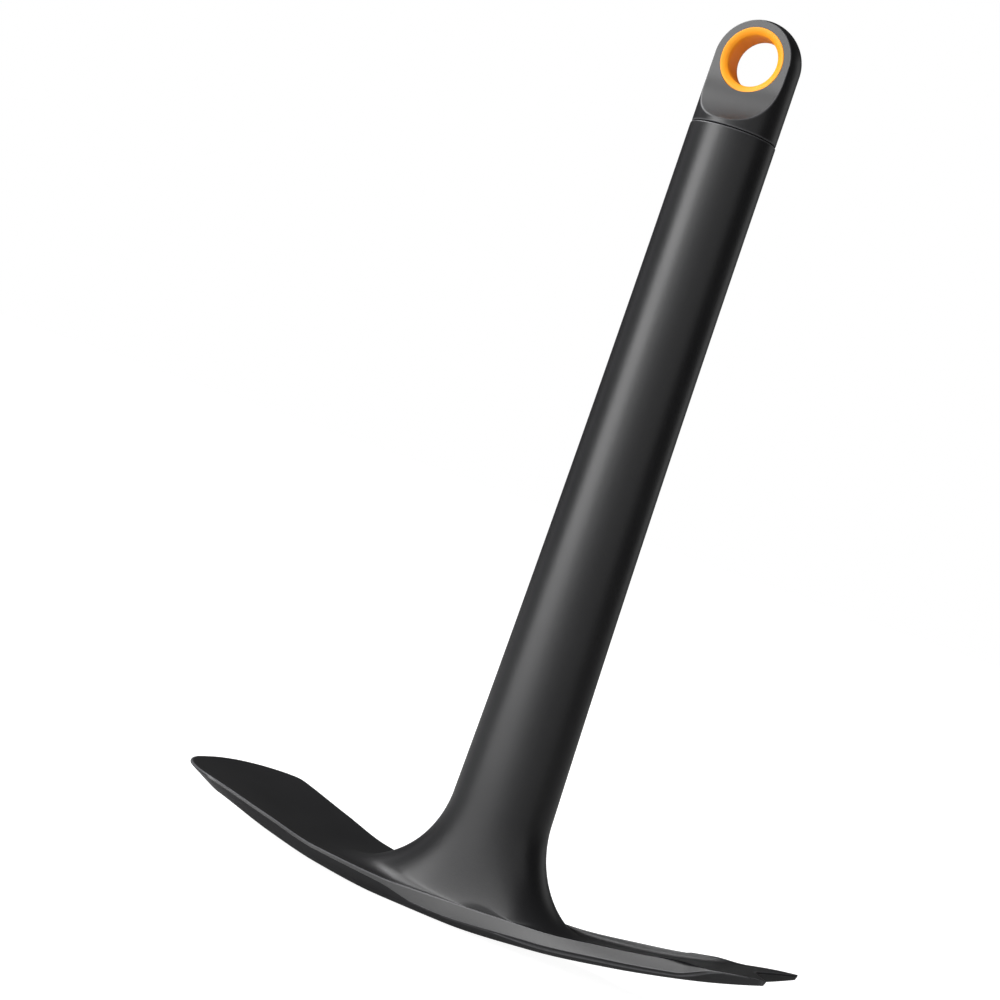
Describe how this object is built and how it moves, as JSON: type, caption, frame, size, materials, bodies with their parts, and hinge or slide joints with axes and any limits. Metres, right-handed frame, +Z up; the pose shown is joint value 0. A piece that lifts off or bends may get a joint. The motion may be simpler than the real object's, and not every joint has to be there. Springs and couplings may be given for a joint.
{
  "type": "planters hoe",
  "caption": "Short one-hand planting hoe: broad dished blade and forked prongs on one moulded head, straight round grip, and an end cap with a ringed hanging eye.",
  "frame": {"origin": "middle of the head's length and width, level with the lowest point of the head", "axes": "+Z up the grip, -X to the blade's nose, +X to the fork's tips, Y across the head and along the hanging eye; the grip's axis stands at X = 3.5 mm"},
  "size_m": [0.229, 0.0616, 0.3202],
  "materials": {
    "black_nylon": "fine matt moulded surface",
    "orange_plastic": "satin moulded surface"
  },
  "bodies": {
    "root": {"hoe_body": "black_nylon", "end_cap": "black_nylon", "hang_ring": "orange_plastic"}
  },
  "joints": []
}
